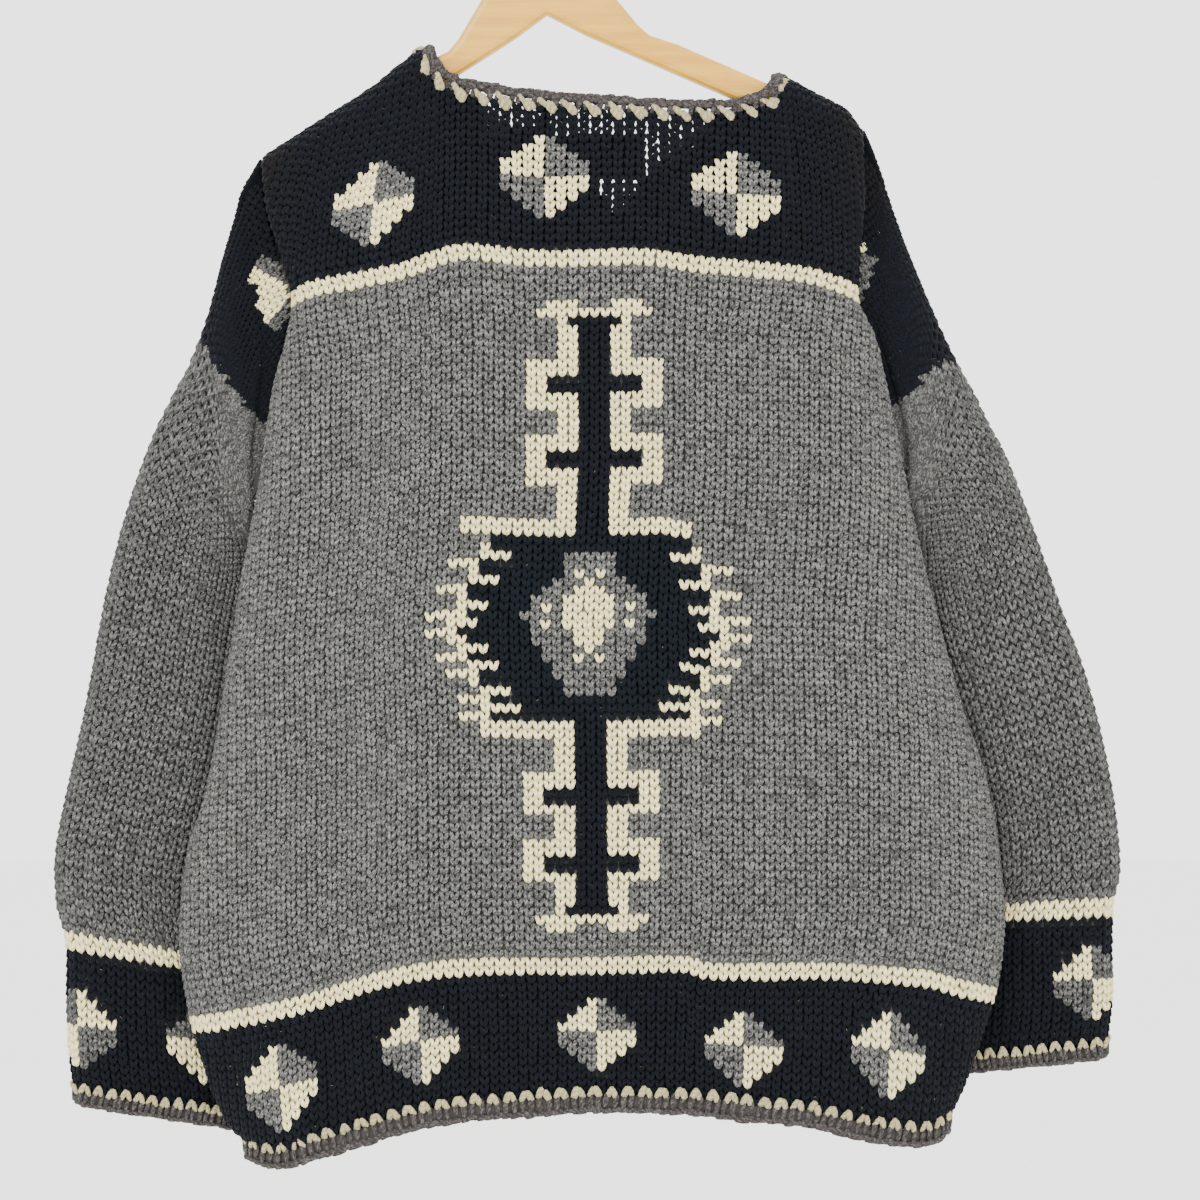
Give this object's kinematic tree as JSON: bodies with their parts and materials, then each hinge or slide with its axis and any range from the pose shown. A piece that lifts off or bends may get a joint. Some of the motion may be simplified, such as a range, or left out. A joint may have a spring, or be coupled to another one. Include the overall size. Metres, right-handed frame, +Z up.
{
  "type": "knit sweater on a wooden hanger",
  "caption": "Chunky hand-knit V-neck pullover hanging on a wooden hanger, with a hollow body and sleeves open at neck, hem and cuffs.",
  "frame": {"origin": "inside of the hook's bend, where a rail carries it", "axes": "+Z up, +X to the wearer's right, -Y to the side that the garment's back faces"},
  "size_m": [0.7484, 0.1074, 0.9412],
  "materials": {
    "knit_grey": "thick heather wool with navy bands and cream stripes",
    "crochet_edge": "crocheted wool",
    "hanger_wood": "clear varnish",
    "hanger_steel": "polished wire"
  },
  "bodies": {
    "root": {"back": "knit_grey", "front": "knit_grey", "sleeve_left": "knit_grey", "sleeve_right": "knit_grey", "neck_edging": "crochet_edge", "hem_edging": "crochet_edge", "cuff_edging_left": "crochet_edge", "cuff_edging_right": "crochet_edge", "hanger_bar": "hanger_wood", "hanger_hook": "hanger_steel"}
  },
  "joints": []
}
